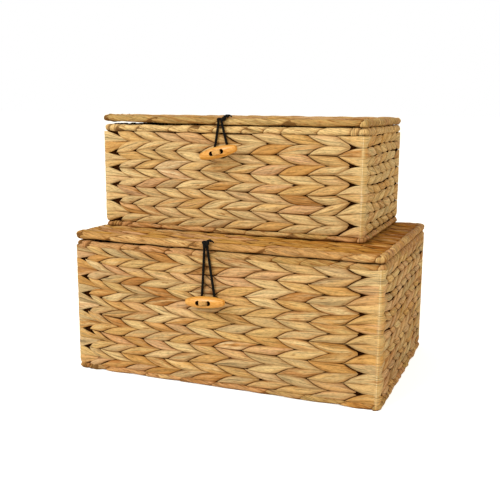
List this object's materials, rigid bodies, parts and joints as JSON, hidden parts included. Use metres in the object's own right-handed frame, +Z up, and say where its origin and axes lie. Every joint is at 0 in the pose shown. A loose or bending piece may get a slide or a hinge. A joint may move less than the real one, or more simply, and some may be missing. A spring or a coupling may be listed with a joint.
{
  "type": "water hyacinth storage baskets",
  "caption": "Nested pair of lidded rectangular storage baskets woven from water hyacinth over wire frames, stacked, each lid closed by an elastic loop over a wooden toggle.",
  "frame": {"origin": "on the floor, under the middle of the large basket's woven floor", "axes": "+Z up, the fronts with the toggles face -Y, +X to the right of someone who looks at the fronts"},
  "size_m": [0.4016, 0.2945, 0.3299],
  "materials": {
    "leaf_weave": "dried water hyacinth leaf, woven, matt with a faint sheen",
    "leaf_border": "dried water hyacinth strand, wound tight",
    "frame_wire": "dark lacquered iron wire",
    "toggle_wood": "turned light wood, clear varnish",
    "strand": "pale twisted leaf strand",
    "elastic": "black braided elastic cord"
  },
  "bodies": {
    "lower_basket": {"lower_frame": "frame_wire", "lower_front_weave": "leaf_weave", "lower_back_weave": "leaf_weave", "lower_right_weave": "leaf_weave", "lower_left_weave": "leaf_weave", "lower_floor_weave": "leaf_weave", "lower_front_left_corner": "leaf_weave", "lower_front_right_corner": "leaf_weave", "lower_back_right_corner": "leaf_weave", "lower_back_left_corner": "leaf_weave", "lower_base_border": "leaf_border", "lower_rim_border": "leaf_border", "lower_left_lid_tie": "leaf_border", "lower_middle_lid_tie": "leaf_border", "lower_right_lid_tie": "leaf_border"},
    "lower_lid": {"lower_lid_frame": "frame_wire", "lower_lid_border": "leaf_border", "lower_lid_weave": "leaf_weave", "lower_elastic_knot": "elastic"},
    "lower_loop": {"lower_elastic_loop": "elastic"},
    "lower_closure": {"lower_toggle": "toggle_wood", "lower_toggle_strand": "strand"},
    "upper_basket": {"upper_frame": "frame_wire", "upper_front_weave": "leaf_weave", "upper_back_weave": "leaf_weave", "upper_right_weave": "leaf_weave", "upper_left_weave": "leaf_weave", "upper_floor_weave": "leaf_weave", "upper_front_left_corner": "leaf_weave", "upper_front_right_corner": "leaf_weave", "upper_back_right_corner": "leaf_weave", "upper_back_left_corner": "leaf_weave", "upper_base_border": "leaf_border", "upper_rim_border": "leaf_border", "upper_left_lid_tie": "leaf_border", "upper_middle_lid_tie": "leaf_border", "upper_right_lid_tie": "leaf_border"},
    "upper_lid": {"upper_lid_frame": "frame_wire", "upper_lid_border": "leaf_border", "upper_lid_weave": "leaf_weave", "upper_elastic_knot": "elastic"},
    "upper_loop": {"upper_elastic_loop": "elastic"},
    "upper_closure": {"upper_toggle": "toggle_wood", "upper_toggle_strand": "strand"}
  },
  "joints": [
    {"name": "upper_basket_lift", "type": "slide", "parent": "lower_basket", "child": "upper_basket", "axis": [0, 0, 1], "range_m": [0, 0.51]},
    {"name": "lower_lid_hinge", "type": "hinge", "parent": "lower_basket", "child": "lower_lid", "pos_m": [0, 0.1313, 0.17539], "axis": [-1, 0, 0], "range_deg": [0, 105]},
    {"name": "lower_loop_swing", "type": "hinge", "parent": "lower_lid", "child": "lower_loop", "pos_m": [-0.0149, -0.13857, 0.18049], "axis": [-1, 0, 0], "range_deg": [0, 255], "deforming": ["lower_elastic_loop"]},
    {"name": "lower_toggle_turn", "type": "hinge", "parent": "lower_basket", "child": "lower_closure", "pos_m": [-0.0122, -0.147, 0.11], "axis": [0, -1, 0], "range_deg": [-90, 90]},
    {"name": "upper_lid_hinge", "type": "hinge", "parent": "upper_basket", "child": "upper_lid", "pos_m": [-0.0164, 0.1303, 0.32177], "axis": [-1, 0, 0], "range_deg": [0, 105]},
    {"name": "upper_loop_swing", "type": "hinge", "parent": "upper_lid", "child": "upper_loop", "pos_m": [-0.0186, -0.07557, 0.32687], "axis": [-1, 0, 0], "range_deg": [0, 255], "deforming": ["upper_elastic_loop"]},
    {"name": "upper_toggle_turn", "type": "hinge", "parent": "upper_basket", "child": "upper_closure", "pos_m": [-0.0228, -0.084, 0.28439], "axis": [0, -1, 0], "range_deg": [-90, 90]}
  ],
  "couplings": [
    {"joint": "lower_lid_hinge", "follows": "upper_basket_lift", "rad_per_m": 3.57},
    {"joint": "lower_loop_swing", "follows": "upper_basket_lift", "rad_per_m": 8.67},
    {"joint": "upper_loop_swing", "follows": "upper_lid_hinge", "ratio": 2.428}
  ]
}
